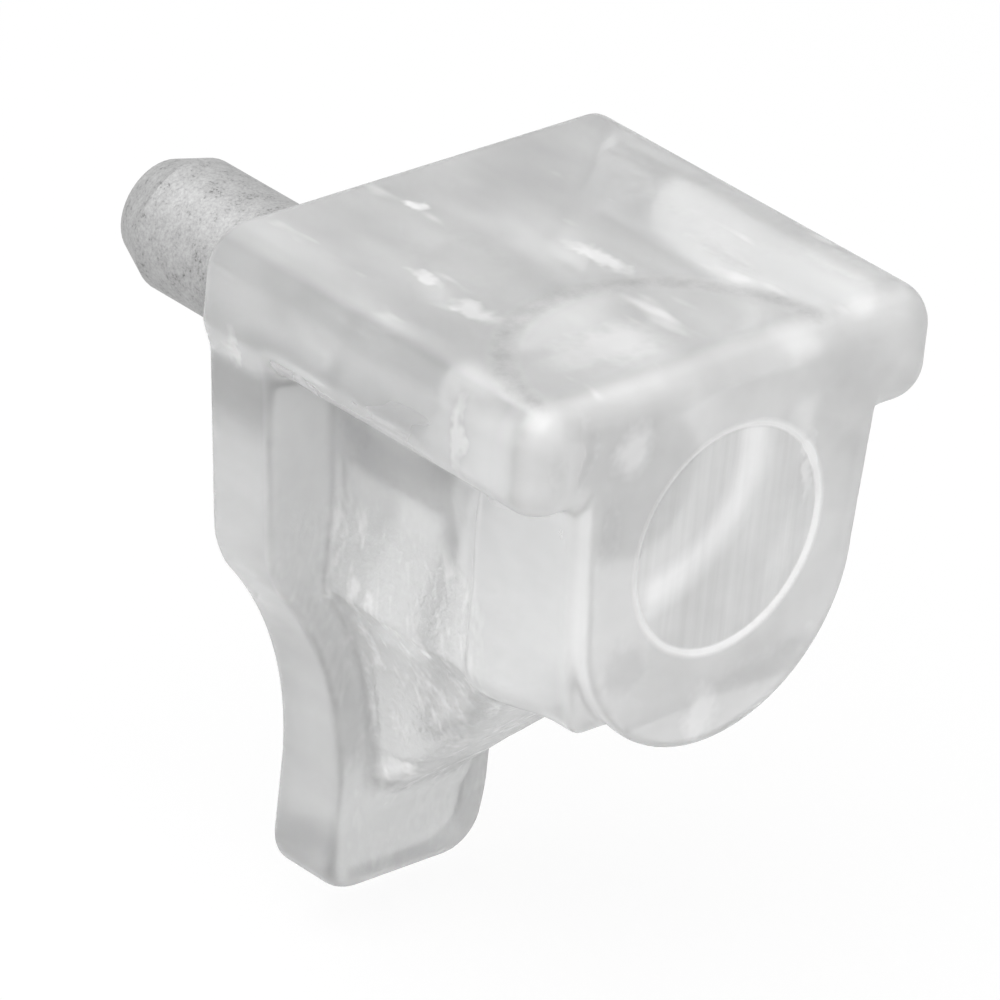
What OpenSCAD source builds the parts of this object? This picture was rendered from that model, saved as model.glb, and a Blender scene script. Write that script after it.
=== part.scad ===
// Shelf support: a clear moulded seat on a round steel pin.
// The origin is on the pin's axis, in the plane of the cabinet's side panel.
// +Y runs along the pin into the panel, +Z is up, and the shelf lies on the top face.

/* [Pin] */
// Diameter of the pin
pin_d = 5; // [4:0.1:6]
// Length of the pin outside the seat
pin_reach = 12.1; // [8:0.1:16]
// Depth of the pin's shank inside the seat
pin_grip = 7.5; // [5:0.1:13]
// Diameter of the shank, thicker than the pin so that it stops at the seat's back
shank_d = 5.4; // [5:0.1:6.4]
// Length of the tapered nose
nose_len = 1.5; // [0.5:0.1:3]
// Diameter at the end of the nose
nose_d = 3.7; // [2.5:0.1:3.9]
// Size of the chamfer at the shank's buried end
heel_chamfer = 0.4; // [0.2:0.1:0.8]
// Radial clearance between the shank and its hole
pin_clear = 0.02; // [0.01:0.01:0.05]

/* [Seat plate] */
// Width of the seat plate
plate_w = 18.5; // [18.4:0.1:24]
// Depth of the whole moulding from the panel to its front
body_depth = 16.4; // [15:0.1:22]
// Height of the shelf face over the pin's axis
shelf_h = 6.8; // [6.2:0.1:10]
// Thickness of the seat plate
plate_t = 4.3; // [3.4:0.1:5]
// Radius of the plate's long edges
edge_r = 1.5; // [0.5:0.1:1.6]
// Radius of the plate's front corners, seen from above
corner_r = 1.4; // [0.5:0.1:3]

/* [Back plate] */
// Thickness of the back plate and its leg
back_t = 3.1; // [2:0.1:4.5]
// Width of the back plate where it meets the seat plate
back_w_top = 18.2; // [15.5:0.1:18.4]
// Width of the back plate at its lower corners
back_w_low = 15.4; // [14:0.1:15.9]
// Depth of the lower corners under the pin's axis
back_low = 5.7; // [4.5:0.1:6.5]
// Radius of the hollows between the lower corners and the leg
hollow_r = 12.8; // [9:0.1:13.5]
// Width of the leg
leg_w = 7.2; // [6:0.1:8]
// Depth of the leg's end under the pin's axis
leg_low = 19.2; // [18.5:0.1:26]
// Radius of the leg's end corners
leg_corner_r = 1.4; // [0.3:0.1:2]

/* [Neck and gusset] */
// Diameter of the round neck around the pin
neck_d = 11; // [8:0.1:12]
// Width of the neck's flat sides
neck_w = 10.4; // [8:0.1:11.5]
// Distance from the back plate's outline to the gusset
gusset_inset = 1.4; // [0.8:0.1:2]
// Depth of the gusset's lower end under the pin's axis
gusset_low = 15.6; // [15:0.1:16.8]
// Slope of the gusset's lower edge, in degrees
gusset_slope = 45; // [42:1:60]
// Radius of the cove between the gusset and the boss
cove_r = 5; // [1:0.1:5.2]

/* [Boss] */
// Length of the wide boss behind its front pad
boss_len = 4.8; // [3:0.1:8]
// Width of the boss under the seat plate
boss_w_top = 12.9; // [12:0.1:14.5]
// Width of the boss at its lower edge
boss_w_low = 11.3; // [10:0.1:12]
// Depth of the boss's lower edge under the pin's axis
boss_low = 6.3; // [5.8:0.1:7]
// Radius of the boss's lower edges
boss_r = 0.8; // [0.3:0.1:2]
// Thickness of the round front pad
pad_t = 0.8; // [0.4:0.1:2]
// Depth of the front pad's lowest point under the pin's axis
pad_low = 7.7; // [7.2:0.1:9]
// Diameter of the round mark that the mould leaves on the front
mark_d = 8.2; // [4:0.1:9]
// Depth of the round mark
mark_depth = 0.1; // [0.05:0.05:0.3]

/* [Hidden] */
$fn = 96;

// Length by which a cut runs past the face it opens.
cut_over = 1;

// Heights of the seat plate's underside and middle.
plate_low = shelf_h - plate_t;
plate_mid = shelf_h - plate_t / 2;

// Centre of the hollows: each one touches the leg's side and ends at a lower corner.
hollow_x = leg_w / 2 + hollow_r;
hollow_z = -back_low - sqrt(pow(hollow_r, 2) - pow(hollow_x - back_w_low / 2, 2));

// The boss's sides lean in by this much for each millimetre down.
boss_lean = (boss_w_top - boss_w_low) / 2 / (plate_low + boss_low);
lean_cos = cos(atan(boss_lean));
lean_sin = sin(atan(boss_lean));

// Circle that touches the lower edge and a leaning side of the boss.
boss_round_x = boss_w_low / 2 + boss_r * boss_lean - boss_r / lean_cos;
boss_round_z = boss_r - boss_low;

// Circle that touches both leaning sides and reaches the pad's lowest point.
pad_r = lean_cos * (boss_w_low / 2 - (pad_low - boss_low) * boss_lean) / (1 - boss_lean * lean_cos);
pad_z = pad_r - pad_low;

// Back of the front pad, and the corner where the gusset's slope meets the boss's underside.
pad_back = pad_t - body_depth;
slope_end = -back_t - (gusset_low - boss_low) / tan(gusset_slope);
cove_run = cove_r * tan(gusset_slope / 2);

// Extrudes an outline drawn in X and Z along Y, from y0 to y1.
module along_y(y0, y1) {
    translate([0, y1, 0]) rotate([90, 0, 0]) linear_extrude(y1 - y0) children();
}

// Extrudes an outline drawn in Y and Z along X, centred.
module along_x(width) {
    rotate([90, 0, 90]) linear_extrude(width, center = true) children();
}

// Rectangle with its lower left corner at [x, y] and round corners.
module round_rect(x, y, w, h, r) {
    translate([x + r, y]) square([w - 2 * r, h]);
    translate([x, y + r]) square([w, h - 2 * r]);
    for (cx = [x + r, x + w - r], cy = [y + r, y + h - r])
        translate([cx, cy]) circle(r);
}

// Seat plate: round long edges, round front corners, square against the panel.
module seat_plate() {
    intersection() {
        along_y(-body_depth, 0)
            round_rect(-plate_w / 2, plate_low, plate_w, plate_t, edge_r);
        along_x(plate_w)
            round_rect(-body_depth, plate_low, 2 * body_depth, plate_t, edge_r);
        translate([0, 0, plate_low]) linear_extrude(plate_t)
            round_rect(-plate_w / 2, -body_depth, plate_w, 2 * body_depth, corner_r);
    }
}

// Sides that narrow in two hollows towards a bar of width w, down to z_low.
module hollowed_outline(wide, w, z_top, z_low) {
    difference() {
        translate([-wide / 2, hollow_z]) square([wide, z_top - hollow_z]);
        for (side = [-1, 1])
            translate([side * hollow_x, hollow_z]) circle(hollow_x - w / 2);
    }
    translate([-w / 2, z_low]) square([w, z_top - z_low]);
}

// Back plate with the leg that hangs from it.
module back_plate() {
    along_y(-back_t, 0) {
        polygon([
            [-back_w_top / 2, plate_mid], [back_w_top / 2, plate_mid],
            [back_w_low / 2, -back_low], [-back_w_low / 2, -back_low]
        ]);
        hollowed_outline(back_w_low, leg_w, -back_low, leg_corner_r - leg_low);
        round_rect(-leg_w / 2, -leg_low, leg_w, 3 * leg_corner_r, leg_corner_r);
    }
}

// Round neck that holds the pin, with the gusset under it.
module neck() {
    along_y(pad_back, -back_t / 2) circle(d = neck_d);
    along_y(pad_back, -back_t / 2)
        translate([-neck_w / 2, 0]) square([neck_w, plate_mid]);
    intersection() {
        along_y(pad_back, -back_t / 2)
            hollowed_outline(neck_w, leg_w - 2 * gusset_inset, 0, -gusset_low);
        along_x(neck_w) gusset_side();
    }
}

// The gusset from the side: a slope from the leg and a cove under the boss.
module gusset_side() {
    polygon([
        [0, 0], [0, -gusset_low], [-back_t, -gusset_low],
        [slope_end, -boss_low], [pad_back, -boss_low], [pad_back, 0]
    ]);
    difference() {
        polygon([
            [slope_end, -boss_low],
            [slope_end + cove_run * cos(gusset_slope), -boss_low - cove_run * sin(gusset_slope)],
            [slope_end - cove_run, -boss_low - cove_r],
            [slope_end - cove_run, -boss_low]
        ]);
        translate([slope_end - cove_run, -boss_low - cove_r]) circle(cove_r);
    }
}

// Wide boss with leaning sides and round lower edges.
module boss() {
    along_y(pad_back, pad_back + boss_len) {
        translate([-boss_w_top / 2, plate_low]) square([boss_w_top, plate_t / 2]);
        polygon([
            [-boss_w_top / 2, plate_low], [boss_w_top / 2, plate_low],
            [boss_round_x + boss_r * lean_cos, boss_round_z - boss_r * lean_sin],
            [boss_round_x, -boss_low], [-boss_round_x, -boss_low],
            [-boss_round_x - boss_r * lean_cos, boss_round_z - boss_r * lean_sin]
        ]);
        for (side = [-1, 1])
            translate([side * boss_round_x, boss_round_z]) circle(boss_r);
    }
}

// Thin round-ended pad on the front, level with the front of the seat plate.
module front_pad() {
    along_y(-body_depth, pad_back) {
        translate([-boss_w_top / 2, plate_low]) square([boss_w_top, plate_t - edge_r]);
        polygon([
            [-boss_w_top / 2, plate_low], [boss_w_top / 2, plate_low],
            [pad_r * lean_cos, pad_z - pad_r * lean_sin],
            [-pad_r * lean_cos, pad_z - pad_r * lean_sin]
        ]);
        translate([0, pad_z]) circle(pad_r);
    }
}

// One clear moulding with a blind hole for the shank and a shallow round mark on its front.
module clear_seat() {
    color([0.86, 0.88, 0.88, 0.6])
        difference() {
            union() {
                seat_plate();
                back_plate();
                neck();
                boss();
                front_pad();
            }
            along_y(-pin_grip - pin_clear, cut_over) circle(d = shank_d + 2 * pin_clear);
            along_y(-body_depth - cut_over, mark_depth - body_depth) circle(d = mark_d);
        }
}

// Turned pin with a tapered nose, on a thicker shank with a chamfered end.
module steel_pin() {
    color([0.62, 0.62, 0.6])
        rotate([-90, 0, 0]) rotate_extrude()
            polygon([
                [0, -pin_grip], [shank_d / 2 - heel_chamfer, -pin_grip],
                [shank_d / 2, heel_chamfer - pin_grip], [shank_d / 2, 0], [pin_d / 2, 0],
                [pin_d / 2, pin_reach - nose_len], [nose_d / 2, pin_reach], [0, pin_reach]
            ]);
}

clear_seat();
steel_pin();
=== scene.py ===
"""Looks of a shelf support: a clear moulded seat on a zinc-plated steel pin.

The frame is the part's own: the origin on the pin's axis in the plane of the cabinet's side,
+Y along the pin into the panel and +Z up. Shapes are worked out in millimetres, and a mesh is
made in metres.
"""

import math

import bpy
import numpy as np
from mathutils import Matrix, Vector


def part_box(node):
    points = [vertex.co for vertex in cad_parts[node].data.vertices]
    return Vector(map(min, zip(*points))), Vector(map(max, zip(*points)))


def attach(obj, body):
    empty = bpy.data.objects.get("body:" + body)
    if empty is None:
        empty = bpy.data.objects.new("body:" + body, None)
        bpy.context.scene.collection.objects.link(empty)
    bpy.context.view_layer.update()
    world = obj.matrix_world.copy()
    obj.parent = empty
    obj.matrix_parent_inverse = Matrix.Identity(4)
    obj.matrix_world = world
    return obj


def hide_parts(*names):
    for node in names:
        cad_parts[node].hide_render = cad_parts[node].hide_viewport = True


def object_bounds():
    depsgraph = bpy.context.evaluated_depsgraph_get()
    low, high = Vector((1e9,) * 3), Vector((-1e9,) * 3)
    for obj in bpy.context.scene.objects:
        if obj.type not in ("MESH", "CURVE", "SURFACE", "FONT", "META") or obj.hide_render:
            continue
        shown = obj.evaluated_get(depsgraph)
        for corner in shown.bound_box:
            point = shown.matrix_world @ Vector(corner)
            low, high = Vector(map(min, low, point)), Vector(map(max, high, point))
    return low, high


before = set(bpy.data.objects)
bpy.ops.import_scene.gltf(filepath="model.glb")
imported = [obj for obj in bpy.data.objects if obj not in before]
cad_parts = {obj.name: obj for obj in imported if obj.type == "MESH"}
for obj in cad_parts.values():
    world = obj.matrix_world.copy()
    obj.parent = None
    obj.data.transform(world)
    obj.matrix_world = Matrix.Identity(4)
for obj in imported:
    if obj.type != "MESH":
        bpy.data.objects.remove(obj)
cad_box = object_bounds()

MM = 0.001

# ---------------------------------------------------------------- sizes, in millimetres

# The main sizes are the solid seat's. What the solids' boxes give is read from them.
seat_low, seat_high = np.array(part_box("clear_seat")) / MM
pin_low, pin_high = np.array(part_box("steel_pin")) / MM

# Seat plate.
PLATE_HALF = seat_high[0]
SHELF_FACE = seat_high[2]
FRONT = seat_low[1]
PLATE_THICK = 4.3
PLATE_LOW = SHELF_FACE - PLATE_THICK
PLATE_MID = SHELF_FACE - PLATE_THICK / 2
PLATE_EDGE_R = 1.5
PLATE_CORNER_R = 1.5

# Back plate and leg.
BACK_THICK = 3.1
BACK_HALF_TOP = 9.1
BACK_HALF_LOW = 7.7
BACK_LOW = 5.7
BACK_EDGE_R = 0.35
HOLLOW_R = 12.8
HOLLOW_EDGE = 0.8
LEG_HALF = 3.6
LEG_END = seat_low[2]
LEG_CORNER_R = 1.6
LEG_END_EDGE_R = 0.9
LEG_END_REACH = 3
WALL_EDGE = 0.35

# Neck and gusset.
NECK_R = 5.5
NECK_HALF = 5.2
GUSSET_INSET = 1.4
GUSSET_LOW = 15.6
GUSSET_EDGE = 1.0

# Boss and front pad.
BOSS_BACK = FRONT + 5.6
BOSS_HALF_TOP = 6.45
BOSS_HALF_LOW = 5.65
BOSS_LOW = 6.3
BOSS_R = 0.8
BOSS_EDGE_R = 0.25
PAD_THICK = 0.8
PAD_LOW = 7.7
PAD_R = 6.05
PAD_EDGE_R = 0.3
PAD_BACK_EDGE = 0.4
MARK_R = 4.1
MARK_DEPTH = 0.1

# Pin and shank.
SHANK_R = pin_high[0]
SHANK_END = pin_low[1]
PIN_CLEAR = 0.02

# Widths of the fillets where forms meet.
BOSS_TO_GUSSET = 1.6
TO_NECK = 0.8
TO_PLATE = 0.9
TO_PAD = 0.2
TO_BACK = 0.7
NECK_TO_FLANKS = 0.3

# How far forms run on past the wall, where they are cut, and into the plate and the boss, where
# their ends are hidden, and the height at which the gusset's slope ends inside the boss.
PAST_WALL = 2.0
INTO_PLATE = 1
INTO_BOSS = 0.3
SLOPE_TOP = -3

# ---------------------------------------------------------------- distance fields


def rounded(outline, along, low, high, r):
    """Distance to an outline carried along an axis from low to high, with its edges rounded by r:
    both distances are taken r inside, the outer corner is their Pythagorean sum, less r."""
    across = outline + r
    ends = np.maximum(low - along, along - high) + r
    outer = np.hypot(np.maximum(across, 0), np.maximum(ends, 0))
    return outer + np.minimum(np.maximum(across, ends), 0) - r


def box_outline(u, v, u_half, v_low, v_high, r):
    """Distance to a rectangle centred on u = 0 from v_low to v_high, with corners rounded by r:
    the rectangle is taken as a bar across u, carried along v with round edges."""
    return rounded(np.abs(u) - u_half, v, v_low, v_high, r)


def polygon(u, v, corners):
    """Signed distance to a closed polygon: the least distance to a side, made negative where a
    ray towards +u crosses an odd number of sides."""
    nearest = np.full(u.shape, np.inf)
    inside = np.zeros(u.shape, bool)
    for (u0, v0), (u1, v1) in zip(corners, corners[1:] + corners[:1]):
        du, dv = u1 - u0, v1 - v0
        t = np.clip(((u - u0) * du + (v - v0) * dv) / (du * du + dv * dv), 0, 1)
        nearest = np.minimum(nearest, np.hypot(u - u0 - t * du, v - v0 - t * dv))
        if dv:
            crossed = ((v0 > v) != (v1 > v)) & (u < u0 + (v - v0) * du / dv)
            inside ^= crossed
    return np.where(inside, -nearest, nearest)


def trapezium(x, z, half_top, top, half_low, low):
    """Signed distance to a form that is symmetric in x and has straight sides."""
    return polygon(x, z, [(-half_top, top), (half_top, top), (half_low, low), (-half_low, low)])


def joined(a, b, fillet):
    """Union of two fields with a fillet: the lesser one, lowered where they nearly agree by
    the square of what is left of the fillet's width, over four times that width."""
    near = np.maximum(fillet - np.abs(a - b), 0)
    return np.minimum(a, b) - near * near / (4 * fillet)


def cut(a, b, edge):
    """Field a without field b, with the edge of the cut eased: a union turned inside out."""
    return -joined(-a, b, edge)


def back_outline(x, z):
    """Distance to the back plate's outline: a block that tapers down to its lower corners, a
    round hollow on each side that touches the leg and ends at a lower corner, and a leg with
    round end corners."""
    hollow_x = LEG_HALF + HOLLOW_R
    hollow_z = -BACK_LOW - math.sqrt(HOLLOW_R**2 - (hollow_x - BACK_HALF_LOW) ** 2)
    block = [
        (-BACK_HALF_TOP, PLATE_MID), (BACK_HALF_TOP, PLATE_MID), (BACK_HALF_LOW, -BACK_LOW),
        (BACK_HALF_LOW, hollow_z), (-BACK_HALF_LOW, hollow_z), (-BACK_HALF_LOW, -BACK_LOW),
    ]
    hollow = np.hypot(np.abs(x) - hollow_x, z - hollow_z) - HOLLOW_R
    wide = cut(polygon(x, z, block), hollow, HOLLOW_EDGE)
    leg = box_outline(x, z, LEG_HALF, LEG_END, 0, LEG_CORNER_R)
    return np.minimum(wide, leg)


def plate_field(x, y, z):
    """Seat plate: its plan with round front corners, carried up with round long edges."""
    plan = box_outline(x, y, PLATE_HALF, FRONT, 2 * PAST_WALL, PLATE_CORNER_R)
    return rounded(plan, z, PLATE_LOW, SHELF_FACE, PLATE_EDGE_R)


def back_field(x, y, z, outline):
    """Back plate and leg: the outline carried to the wall. The radius of its front edge grows
    smoothly towards the leg's end, as three times the square of the way down the last few
    millimetres less twice the cube."""
    down = np.clip((LEG_END + LEG_END_REACH - z) / LEG_END_REACH, 0, 1)
    grown = down * down * (3 - 2 * down)
    edge_r = BACK_EDGE_R + (LEG_END_EDGE_R - BACK_EDGE_R) * grown
    return rounded(outline, y, -BACK_THICK, PAST_WALL, edge_r)


def neck_field(x, y, z):
    """Round neck with flat flanks up to the seat plate, ending inside the front pad."""
    flanks = box_outline(x, z, NECK_HALF, 0, PLATE_MID, 0)
    neck = joined(np.hypot(x, z) - NECK_R, flanks, NECK_TO_FLANKS)
    return np.maximum(neck, FRONT + PAD_THICK / 2 - y)


def gusset_field(x, y, z, outline):
    """Gusset: the back plate's outline drawn in, no wider than the neck's flanks, and cut by a
    45 degree slope from the leg into the boss."""
    flank = np.maximum(outline + GUSSET_INSET, np.abs(x) - NECK_HALF)
    slope_end = -BACK_THICK - GUSSET_LOW - SLOPE_TOP
    slope = [(1, 0), (1, -GUSSET_LOW), (-BACK_THICK, -GUSSET_LOW), (slope_end, SLOPE_TOP),
             (slope_end, 0)]
    return cut(flank, -polygon(y, z, slope), GUSSET_EDGE)


def boss_field(x, y, z):
    """Boss: leaning sides drawn in by the radius of its lower edges, and swelled by it again."""
    side = trapezium(x, z, BOSS_HALF_TOP - BOSS_R, PLATE_LOW + INTO_PLATE,
                     BOSS_HALF_LOW - BOSS_R, BOSS_R - BOSS_LOW) - BOSS_R
    return rounded(side, y, FRONT + PAD_THICK, BOSS_BACK, BOSS_EDGE_R)


def pad_field(x, y, z):
    """Front pad: leaning sides down to a round end. It reaches twice its thickness back into the
    boss, and below the boss it is cut to its own thickness."""
    pad_z = PAD_R - PAD_LOW
    side = trapezium(x, z, BOSS_HALF_TOP, PLATE_LOW + INTO_PLATE, PAD_R, pad_z)
    outline = np.minimum(side, np.hypot(x, z - pad_z) - PAD_R)
    pad = rounded(outline, y, FRONT, FRONT + 2 * PAD_THICK, PAD_EDGE_R)
    behind = np.maximum(FRONT + PAD_THICK - y, z + BOSS_LOW - INTO_BOSS)
    return cut(pad, behind, PAD_BACK_EDGE)


def seat_field(x, y, z):
    """Signed distance to the clear seat. Its forms are joined with fillets and kept inside the
    front, the sides and the wall, and the hole for the shank and the front's mark are cut."""
    outline = back_outline(x, z)
    field = joined(boss_field(x, y, z), gusset_field(x, y, z, outline), BOSS_TO_GUSSET)
    field = joined(field, neck_field(x, y, z), TO_NECK)
    field = joined(field, plate_field(x, y, z), TO_PLATE)
    field = joined(field, pad_field(x, y, z), TO_PAD)
    field = joined(field, back_field(x, y, z, outline), TO_BACK)
    field = np.maximum(field, np.maximum(FRONT - y, np.abs(x) - PLATE_HALF))
    field = cut(field, -y, WALL_EDGE)
    hole = np.maximum(np.hypot(x, z) - SHANK_R - PIN_CLEAR, SHANK_END - PIN_CLEAR - y)
    mark = np.maximum(np.hypot(x, z) - MARK_R, y - FRONT - MARK_DEPTH)
    return np.maximum(np.maximum(field, -hole), -mark)


# ---------------------------------------------------------------- meshes

# Cells by which the grid reaches past the box, on the low and on the high side.
CELLS_BELOW = 1.5
CELLS_ABOVE = 2.5

# Newton steps to the surface, the distance over which a slope is measured, and the least value
# taken for its square.
NEWTON_STEPS = 4
SLOPE_REACH = 0.002
LEAST_SLOPE_SQUARE = 0.05


def surface_net(field, low, high, step):
    """Closed mesh where a field is zero, on a grid that reaches past low and high. Each grid cell
    that the surface crosses gets a vertex at the mean of the crossings on its edges, and each
    crossed grid edge joins its four cells with a quad. Newton steps along the field's slope then
    move every vertex onto the surface."""
    axes = [np.arange(a - CELLS_BELOW * step, b + CELLS_ABOVE * step, step)
            for a, b in zip(low, high)]
    grids = np.meshgrid(*axes, indexing="ij")
    value = field(*grids)
    shape = np.array(value.shape)
    stride = np.array([shape[1] * shape[2], shape[2], 1])
    total = np.zeros((value.size, 3))
    count = np.zeros(value.size)
    quads = []
    for axis in range(3):
        start = np.take(value, range(shape[axis] - 1), axis)
        end = np.take(value, range(1, shape[axis]), axis)
        at = np.argwhere((start < 0) != (end < 0))
        a, b = start[tuple(at.T)], end[tuple(at.T)]
        point = np.stack([axes[i][at[:, i]] for i in range(3)], 1)
        point[:, axis] += step * a / (a - b)
        side, up = (axis + 1) % 3, (axis + 2) % 3
        cell = at @ stride
        ring = [cell, cell - stride[side], cell - stride[side] - stride[up], cell - stride[up]]
        for c in ring:
            count += np.bincount(c, minlength=value.size)
            for i in range(3):
                total[:, i] += np.bincount(c, point[:, i], value.size)
        ring = np.stack(ring, 1)
        quads.append(np.where((a < 0)[:, None], ring, ring[:, ::-1]))
    quads = np.concatenate(quads)
    used, quads = np.unique(quads, return_inverse=True)
    quads = quads.reshape(-1, 4)
    points = total[used] / count[used][:, None]
    for _ in range(NEWTON_STEPS):
        points -= newton_step(field, points)
    return points, quads


def newton_step(field, points):
    """Step to the surface: the field's value times its slope over the slope's square, where the
    slope comes from values a small distance to either side and its square has a least size."""
    value = field(*points.T)
    slope = np.empty_like(points)
    for i in range(3):
        shift = np.zeros(3)
        shift[i] = SLOPE_REACH
        rise = field(*(points + shift).T) - field(*(points - shift).T)
        slope[:, i] = rise / (2 * SLOPE_REACH)
    square = np.maximum((slope**2).sum(1), LEAST_SLOPE_SQUARE)
    return (value / square)[:, None] * slope


def make_piece(name, points, quads):
    """Smooth-shaded object from points in millimetres and quads."""
    mesh = bpy.data.meshes.new(name)
    mesh.from_pydata(points * MM, [], quads.tolist())
    mesh.shade_smooth()
    piece = bpy.data.objects.new(name, mesh)
    bpy.context.collection.objects.link(piece)
    return piece


# ---------------------------------------------------------------- shader maths


class Shade:
    """A shader socket on which arithmetic adds Math nodes."""

    def __init__(self, tree, socket):
        self.tree = tree
        self.socket = socket

    def math(self, operation, *values):
        return self.tree.add("ShaderNodeMath", {"operation": operation}, *values)

    def __add__(self, other):
        return self.math("ADD", self, other)

    def __sub__(self, other):
        return self.math("SUBTRACT", self, other)

    def __rsub__(self, other):
        return self.math("SUBTRACT", other, self)

    def __mul__(self, other):
        return self.math("MULTIPLY", self, other)

    def largest(self, other):
        return self.math("MAXIMUM", self, other)

    __radd__ = __add__
    __rmul__ = __mul__


class Finish:
    """The nodes of a new material or world."""

    def __init__(self, owner):
        self.owner = owner
        owner.use_nodes = True
        self.nodes = owner.node_tree.nodes
        self.links = owner.node_tree.links
        self.nodes.clear()

    def add(self, kind, settings, *values, out=0, **named):
        """Adds a node: its settings first, then values or links by the inputs' order or name."""
        node = self.nodes.new(kind)
        for key, value in settings.items():
            if key == "stops":
                ramp = node.color_ramp
                while len(ramp.elements) < len(value):
                    ramp.elements.new(0.5)
                for element, (place, level) in zip(ramp.elements, value):
                    element.position = place
                    element.color = (level, level, level, 1)
            else:
                setattr(node, key, value)
        inputs = list(enumerate(values)) + [(k.replace("_", " "), v) for k, v in named.items()]
        for key, value in inputs:
            if isinstance(value, Shade):
                self.links.new(value.socket, node.inputs[key])
            else:
                node.inputs[key].default_value = value
        return Shade(self, node.outputs[out]) if node.outputs else None

    def place(self):
        """Position on the object, in metres."""
        return self.add("ShaderNodeTexCoord", {}, out="Object")

    def scaled(self, place, scale):
        """Position scaled along each axis, so that a pattern on it is drawn out where the scale
        is small."""
        return self.add("ShaderNodeMapping", {}, place, Scale=scale)

    def noise(self, at, per_mm, detail, rough, out=0):
        """Cloudy pattern with so many lumps per millimetre, from 0 to 1."""
        return self.add("ShaderNodeTexNoise", {}, Vector=at, Scale=per_mm / MM, Detail=detail,
                        Roughness=rough, out=out)

    def millimetres(self, place):
        """The three coordinates of a place, in millimetres."""
        return [self.add("ShaderNodeSeparateXYZ", {}, place, out=i) * (1 / MM) for i in range(3)]

    def distance(self, u, v):
        """Distance from the point where both u and v are zero."""
        return self.add("ShaderNodeMath", {"operation": "SQRT"}, u * u + v * v)

    def step(self, value, start, end):
        """Smooth step from 0 at start to 1 at end."""
        return self.add("ShaderNodeMapRange", {"interpolation_type": "SMOOTHSTEP"}, value,
                        From_Min=start, From_Max=end)

    def band(self, value, start, full, still, end):
        """Smooth band: 0 up to start, 1 from full to still, and 0 again from end."""
        return self.step(value, start, full) * self.step(value, end, still)

    def blob(self, place, centre, reach):
        """Ellipsoid whose reach along each axis is in millimetres: with the distance from its
        centre measured in reaches, 1 up to 0.3 and falling smoothly to 0 at its surface."""
        scale = [1 / (r * MM) for r in reach]
        move = [-c / r for c, r in zip(centre, reach)]
        at = self.add("ShaderNodeMapping", {}, place, Location=move, Scale=scale)
        length = self.add("ShaderNodeVectorMath", {"operation": "LENGTH"}, at, out="Value")
        return self.step(length, 1, 0.3)

    def shaken(self, place, per_mm, most):
        """Position moved about by cloudy noise, by up to so many millimetres each way."""
        ragged = self.noise(place, per_mm, 2.0, 0.7, out="Color")
        moved = self.add("ShaderNodeVectorMath", {"operation": "MULTIPLY_ADD"}, ragged,
                         (2 * most * MM,) * 3, place)
        return self.add("ShaderNodeVectorMath", {"operation": "SUBTRACT"}, moved,
                        (most * MM,) * 3)

    def ramp(self, value, *stops):
        """Grey level that runs straight from stop to stop: each is a value and its level."""
        return self.add("ShaderNodeValToRGB", {"stops": stops}, value)

    def bump(self, height, strength, millimetres):
        """Normal that follows a height, where 1 stands for so many millimetres."""
        return self.add("ShaderNodeBump", {}, Strength=strength, Distance=millimetres * MM,
                        Height=height)

    def principled(self, **named):
        return self.add("ShaderNodeBsdfPrincipled", {}, **named)

    def mix(self, share, first, second):
        return self.add("ShaderNodeMixShader", {}, share, first, second)

    def finish(self, shader, output="ShaderNodeOutputMaterial"):
        self.add(output, {}, shader)
        return self.owner


def new_finish(name):
    return Finish(bpy.data.materials.new(name))


# Painted highlights and painted shade on the moulding, standing in for light refracted and
# reflected in the clear plastic, in millimetres: centre, reach along each axis, and level, which
# is below 0 for a painted shade. A centre with z 6.8 lies on the shelf face, one with y -16.4 on
# the front and one with x -9.2 on the plate's side.
PAINTED_LIGHT_AND_SHADE = [
    ((0.6, -8.5, 6.8), (0.6, 1.8, 0.8), 0.9), ((-5.6, -9.2, 6.8), (0.6, 1.3, 0.8), 0.8),
    ((-2.1, -2.3, 6.8), (0.4, 0.6, 0.8), 1.0), ((-5.5, -6.6, 6.8), (0.4, 1.0, 0.8), 0.8),
    ((-3.6, -13.4, 6.8), (3.4, 1.5, 0.8), 0.5), ((7.3, -13.0, 6.8), (0.9, 2.6, 0.8), 0.3),
    ((4.4, -10.5, 6.8), (0.4, 2.0, 0.8), -0.6), ((-3.4, -6.0, 6.8), (1.9, 2.8, 0.8), -0.3),
    ((-4.9, -16.4, 4.6), (1.2, 1.0, 1.2), 0.8), ((-4.2, -16.4, -3.7), (1.3, 1.0, 1.4), -0.7),
    ((-0.4, -16.4, -6.4), (1.1, 1.0, 1.3), 0.7), ((2.3, -16.4, -5.6), (1.9, 1.0, 0.9), -0.6),
    ((3.5, -16.4, 1.8), (0.35, 0.5, 1.8), 0.6), ((-8.2, -15.8, 4.6), (0.4, 0.9, 1.3), -0.7),
    ((-7.0, -16.4, 5.0), (0.4, 0.9, 1.6), -0.8), ((-5.6, -16.4, 1.6), (0.5, 0.9, 1.7), -0.5),
    ((-9.2, -12.6, 4.6), (0.8, 0.4, 2.0), 0.7), ((-9.2, -1.5, 2.8), (0.8, 0.4, 1.2), 0.9),
    ((-9.2, -5.0, 3.0), (0.8, 0.8, 0.5), 0.8), ((-5.2, -10.8, -7.0), (2.0, 0.9, 0.4), 1.0),
    ((-2.2, -4.3, -14.0), (1.5, 1.2, 0.8), 0.8), ((6.6, -8.5, 6.8), (2.2, 5.0, 0.8), -0.4),
    ((-5.3, -6.5, 0.8), (1.2, 5.0, 3.6), -0.6),
]

# Centres of the curved painted refraction under the shelf face, in x and y, and of the curved
# painted highlight in the mark, in x and z.
REFRACTION_ARC_AT = (-2.3, -16.3)
HIGHLIGHT_CURL_AT = (-3.9, 3.5)

PLASTIC_IOR = 1.5


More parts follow.
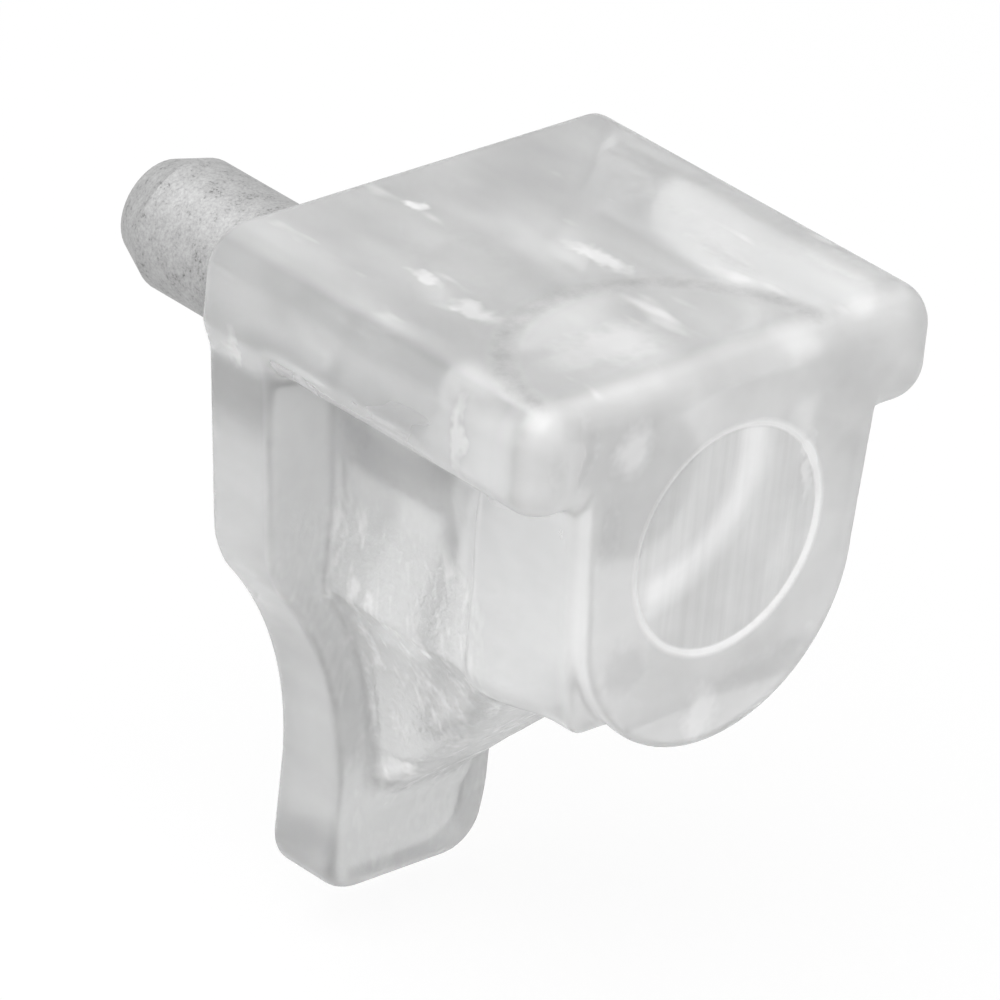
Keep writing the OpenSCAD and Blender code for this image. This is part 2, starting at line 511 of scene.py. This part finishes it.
def clear_plastic():
    """Clear moulding: wavy, faintly rough glass mixed with a milky share.

    Every place on it is a mask made of smooth steps of x, y, z or a distance, in millimetres: the
    front, made lighter as painted light, and its round mark with a painted highlight along its
    edge;
    the crazed flanks of the gusset and the shelf face with small painted glints; a dark curved
    painted refraction under the shelf face; the hazy front left corner; a curved painted highlight
    inside the mark; painted shade along the step from the gusset to the back plate; and painted
    shade on the leg, darker towards its end. A mask raises or lowers the milky tone and the milky
    share, and so do the painted highlight and painted shade patches. Clouds and streaks drawn out
    along y cover the whole part, and the mark is finely drawn upright."""
    f = new_finish("clear_plastic")
    place = f.place()
    x, y, z = f.millimetres(place)

    radius = f.distance(x, z)
    front = f.step(y, FRONT + 0.3, FRONT + 0.2)
    # painted light: the front is made lighter and milkier
    face = f.step(y, FRONT + 1.5, FRONT + 0.5)
    mark = front * f.step(radius, MARK_R, MARK_R - 0.2)
    # painted highlight along the edge of the round mark
    painted_rim_highlight = front * f.band(radius, MARK_R - 0.15, MARK_R, MARK_R, MARK_R + 0.3)
    crazed = f.step(z, -1.5, -4) * f.band(y, -12, -10, -3.6, -2.8)
    top = f.step(z, SHELF_FACE - 0.4, SHELF_FACE - 0.1)
    # painted refraction: a dark curved band on the shelf face
    painted_refraction_arc = top * f.band(f.distance(x - REFRACTION_ARC_AT[0], y - REFRACTION_ARC_AT[1]), 5.6, 6.2, 6.5, 7.1)
    corner = f.step(x, -7.3, -8.3) * f.step(y, -14.2, -15.0) * f.step(z, 2.3, 2.6)
    # painted highlight: a light curve inside the mark
    bend = f.distance(x - HIGHLIGHT_CURL_AT[0], z - HIGHLIGHT_CURL_AT[1])
    painted_highlight_curl = mark * f.band(bend, 3.7, 4.6, 4.8, 5.9) * f.step(x, -4.2, -3.0)
    # painted shade along the step from the gusset to the back plate
    painted_step_shade = f.band(y, -3.5, -3.2, -3.0, -2.7) * f.band(z, -15, -13, 2, 3.5)
    # painted shade: the leg darker towards its end
    lower = f.step(z, -5, -12) * f.step(y, -3.4, -3.0)

    ragged_place = f.shaken(place, 0.9, 0.6)
    # painted highlights and painted shade from the listed patches
    light = sum(f.blob(ragged_place, centre, reach) * level
                for centre, reach, level in PAINTED_LIGHT_AND_SHADE if level > 0)
    dark = sum(f.blob(ragged_place, centre, reach) * -level
               for centre, reach, level in PAINTED_LIGHT_AND_SHADE if level < 0)

    along = f.scaled(place, (1, 0.35, 1))
    streak = f.noise(along, 0.4, 2.0, 0.5)
    spots = f.noise(along, 0.6, 2.0, 0.6)
    sparkle = f.noise(f.scaled(place, (1, 1, 0.45)), 1.1, 2.0, 0.65)
    glint = top * f.step(spots, 0.62, 0.8) + crazed * f.step(sparkle, 0.5, 0.72)
    cloud = f.noise(place, 0.25, 0.0, 0.5)
    waves = f.noise(place, 0.15, 0.0, 0.5)
    grain = f.noise(place, 1.6, 3.0, 0.7)
    drawn = f.noise(f.scaled(place, (1, 1, 0.04)), 3.5, 2.0, 0.5)

    bump = f.bump(waves + crazed * grain * 0.5 + mark * drawn * 0.06, 1.0, 0.1)
    clear = f.principled(Base_Color=(0.85, 0.855, 0.855, 1), Roughness=0.2, IOR=PLASTIC_IOR,
                         Transmission_Weight=1.0, Normal=bump)
    tone = f.ramp(cloud * 0.5 + streak * 0.5, (0.35, 0.6), (0.65, 0.7))
    tone = (tone - painted_refraction_arc * grain * 0.4 + painted_highlight_curl * 0.25 + painted_rim_highlight * 0.25 + glint * 0.2 - painted_step_shade * 0.24
            - lower * 0.06 - corner * 0.05 + mark * (drawn - 0.5) * 0.25 + face * 0.13
            + light * 0.25 - dark * 0.2)
    milky = f.principled(Base_Color=tone, Roughness=0.5, IOR=PLASTIC_IOR,
                         Transmission_Weight=0.5, Normal=bump)
    share = (streak * 0.15 + 0.25 + crazed * grain * 0.2 + painted_rim_highlight * 0.4 + painted_refraction_arc * 0.3
             + painted_highlight_curl * 0.2 + corner * 0.15 + top * 0.12 + glint * 0.3 + painted_step_shade * 0.25 + lower * 0.1
             + face * 0.34 + light * 0.25 + dark * 0.35)
    return f.finish(f.mix(share, clear, milky))


def zinc():
    """Dull zinc plate with a fine mottle and small pits, and painted light: lighter on the shank
    inside the seat, and most on its end, where the buried metal gets little lamp light."""
    f = new_finish("zinc")
    place = f.place()
    y = f.millimetres(place)[1]
    # painted light: lighter on the shank inside the seat, and most on its end
    shank = f.step(y, 0.02, -0.02)
    painted_heel_light = f.step(y, SHANK_END + 0.1, SHANK_END)
    mottle = f.noise(place, 1.8, 4.0, 0.7)
    fine = f.noise(place, 9.0, 2.0, 0.6)
    tone = f.ramp(mottle * 0.5 + fine * 0.5, (0.3, 0.08), (0.42, 0.29), (0.65, 0.4))
    return f.finish(f.principled(Base_Color=tone + shank * 0.2 + painted_heel_light * 0.5, Metallic=0.4,
                                 Roughness=0.5, Normal=f.bump(fine, 0.3, 0.05)))


# ---------------------------------------------------------------- pieces

STEP = 0.15
seat = make_piece("seat_moulding", *surface_net(seat_field, seat_low, seat_high, STEP))
seat.data.materials.append(clear_plastic())
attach(seat, "root")
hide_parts("clear_seat")

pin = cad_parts["steel_pin"]
for slot in pin.material_slots:
    slot.material = zinc()

# ---------------------------------------------------------------- floor, light and camera

# The floor: half its side and its drop under the part, in metres, its paint and its glow.
FLOOR_HALF = 1.5
FLOOR_DROP = 0.002
FLOOR_PAINT = 0.7
FLOOR_GLOW = 0.94

# The world's strength as light on the part, and where it is seen.
WORLD_LIGHT = 0.4
WORLD_SEEN = 1.0


def seen(f, mirrored):
    """How far the stage is seen: 1 by the camera and through clear plastic, mirrored in
    reflections, and 0 by the light that falls on the part."""
    camera, glossy, through = [f.add("ShaderNodeLightPath", {}, out=f"Is {ray} Ray")
                               for ray in ("Camera", "Glossy", "Transmission")]
    return camera.largest(glossy * mirrored).largest(through)


def white_stage(name):
    """Floor finish: white to the camera and in reflections, and a plain pale paint otherwise."""
    f = new_finish(name)
    paint = f.add("ShaderNodeBsdfDiffuse", {}, (FLOOR_PAINT, FLOOR_PAINT, FLOOR_PAINT, 1))
    glow = f.add("ShaderNodeEmission", {}, Color=(1, 1, 1, 1), Strength=1.0)
    return f.finish(f.mix(seen(f, 0.5) * FLOOR_GLOW, paint, glow))


def make_floor():
    half = FLOOR_HALF
    z = cad_box[0][2] - FLOOR_DROP
    mesh = bpy.data.meshes.new("floor")
    mesh.from_pydata([(-half, -half, z), (half, -half, z), (half, half, z), (-half, half, z)],
                     [], [(0, 1, 2, 3)])
    floor = bpy.data.objects.new("floor", mesh)
    bpy.context.collection.objects.link(floor)
    mesh.materials.append(white_stage("floor_white"))


def make_world():
    """Even light from all around, brighter to the camera, in reflections and through clear
    plastic than it is on the part."""
    f = Finish(bpy.data.worlds.new("studio"))
    dim, bright = [f.add("ShaderNodeBackground", {}, Strength=level)
                   for level in (WORLD_LIGHT, WORLD_SEEN)]
    shader = f.mix(seen(f, 1.0), dim, bright)
    bpy.context.scene.world = f.finish(shader, "ShaderNodeOutputWorld")


def frame_matrix(right, up, back, place):
    """Matrix of an object with these three axes at a place."""
    return Matrix(np.vstack([np.column_stack([right, up, back, place]), [0, 0, 0, 1]]))


def soft_box(name, place, size, watts):
    """Square area lamp that faces the part: its back axis runs from the origin to its place."""
    lamp = bpy.data.lights.new(name, "AREA")
    lamp.size = size
    lamp.energy = watts
    box = bpy.data.objects.new(name, lamp)
    back = np.array(place) / np.linalg.norm(place)
    right = np.cross([0, 0, 1], back)
    right /= np.linalg.norm(right)
    box.matrix_world = frame_matrix(right, np.cross(back, right), back, place)
    bpy.context.collection.objects.link(box)


def make_camera():
    """Long lens that looks down on the part from its front left."""
    camera = bpy.data.cameras.new("camera")
    camera.sensor_width = 36
    camera.lens = 431.97
    camera.clip_start = 0.01
    view = bpy.data.objects.new("camera", camera)
    view.matrix_world = frame_matrix(
        right=(0.73417067, -0.67223933, 0.09532951),
        up=(0.24822239, 0.39643112, 0.88387104),
        back=(-0.63196446, -0.62524927, 0.45791295),
        place=(-0.25473611, -0.25772573, 0.1812149))
    bpy.context.collection.objects.link(view)
    bpy.context.scene.camera = view


make_floor()
make_world()
soft_box("key", place=(-0.15, -0.05, 0.3), size=0.4, watts=2.7)
make_camera()
bpy.context.scene.view_settings.view_transform = "Standard"
